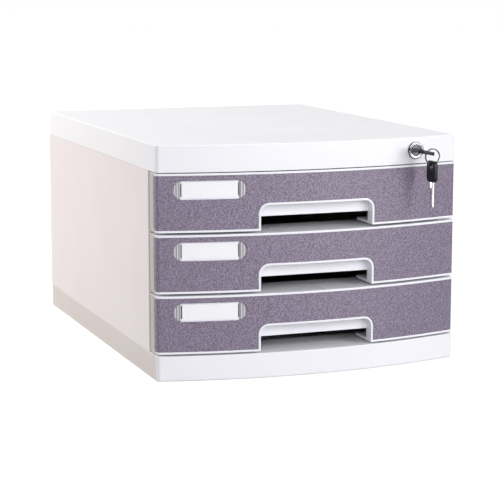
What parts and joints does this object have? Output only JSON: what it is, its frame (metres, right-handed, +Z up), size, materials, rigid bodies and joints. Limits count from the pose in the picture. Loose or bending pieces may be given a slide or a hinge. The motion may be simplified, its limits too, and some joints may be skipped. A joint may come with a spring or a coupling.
{
  "type": "desktop file drawer",
  "caption": "Desktop cabinet with bowed drawer fronts, recessed finger pulls, label windows, a white moulded casing and a cam lock whose bar holds every drawer.",
  "frame": {"origin": "centre of the casing's footprint, on the desk", "axes": "+Z up, the drawer fronts face -Y, +X to the right seen from the front"},
  "size_m": [0.3, 0.4319, 0.217],
  "materials": {
    "shell": "smooth cool-white moulded plastic",
    "panel": "smooth warm pale-grey moulded plastic",
    "tray": "satin pale-grey moulded plastic",
    "front": "smooth white moulded plastic",
    "facing": "fine-grained purple-grey plastic",
    "window": "clear plastic",
    "card": "blank white paper card",
    "rubber": "soft dark non-slip pads",
    "chrome": "polished plated metal",
    "guide": "satin moulded plastic",
    "bow": "smooth black moulded plastic",
    "steel": "plated steel"
  },
  "bodies": {
    "casing": {"top_cover": "shell", "base": "shell", "left_side_panel": "panel", "right_side_panel": "panel", "back_panel": "panel", "rubber_pads": "rubber", "cover_screws": "steel", "base_screws": "steel", "back_screws": "steel", "lock_housing": "chrome", "lock_nut": "steel", "bar_guides": "guide"},
    "lock_core": {"lock_plug": "chrome", "lock_cam": "steel", "cam_screw": "steel"},
    "locking_bar": {"locking_bar": "steel"},
    "key": {"key_blade": "steel", "key_bow": "bow"},
    "key_ring": {"key_ring": "steel"},
    "spare_key": {"spare_key_blade": "steel", "spare_key_bow": "bow"},
    "top_drawer": {"top_drawer_tray": "tray", "top_drawer_lock_catch": "steel", "top_drawer_front": "front", "top_drawer_facing": "facing", "top_drawer_label_window": "window", "top_drawer_label_card": "card", "top_drawer_front_screws": "steel"},
    "middle_drawer": {"middle_drawer_tray": "tray", "middle_drawer_lock_catch": "steel", "middle_drawer_front": "front", "middle_drawer_facing": "facing", "middle_drawer_label_window": "window", "middle_drawer_label_card": "card", "middle_drawer_front_screws": "steel"},
    "bottom_drawer": {"bottom_drawer_tray": "tray", "bottom_drawer_lock_catch": "steel", "bottom_drawer_front": "front", "bottom_drawer_facing": "facing", "bottom_drawer_label_window": "window", "bottom_drawer_label_card": "card", "bottom_drawer_front_screws": "steel"}
  },
  "joints": [
    {"name": "top_drawer_slide", "type": "slide", "parent": "casing", "child": "top_drawer", "axis": [0, -1, 0], "range_m": [0, 0.26]},
    {"name": "middle_drawer_slide", "type": "slide", "parent": "casing", "child": "middle_drawer", "axis": [0, -1, 0], "range_m": [0, 0.26]},
    {"name": "bottom_drawer_slide", "type": "slide", "parent": "casing", "child": "bottom_drawer", "axis": [0, -1, 0], "range_m": [0, 0.26]},
    {"name": "lock_turn", "type": "hinge", "parent": "casing", "child": "lock_core", "pos_m": [0.1014, -0.19746, 0.2047], "axis": [0, 1, 0], "range_deg": [0, 90]},
    {"name": "locking_bar_slide", "type": "slide", "parent": "casing", "child": "locking_bar", "axis": [0, 0, -1], "range_m": [0, 0.01131]},
    {"name": "key_withdraw", "type": "slide", "parent": "lock_core", "child": "key", "axis": [0, -1, 0], "range_m": [0, 0.26]},
    {"name": "ring_swing", "type": "hinge", "parent": "key", "child": "key_ring", "pos_m": [0.10262, -0.21786, 0.20402], "axis": [1, 0, 0], "range_deg": [-25, 18]},
    {"name": "spare_key_turn", "type": "hinge", "parent": "key_ring", "child": "spare_key", "pos_m": [0.10883, -0.21786, 0.20058], "axis": [0, 1, 0], "range_deg": [-90, 0]}
  ],
  "couplings": [
    {"joint": "lock_turn", "follows": "locking_bar_slide", "rad_per_m": 138.84},
    {"joint": "spare_key_turn", "follows": "locking_bar_slide", "rad_per_m": -138.84},
    {"joint": "key_withdraw", "follows": "top_drawer_slide", "ratio": 1}
  ]
}
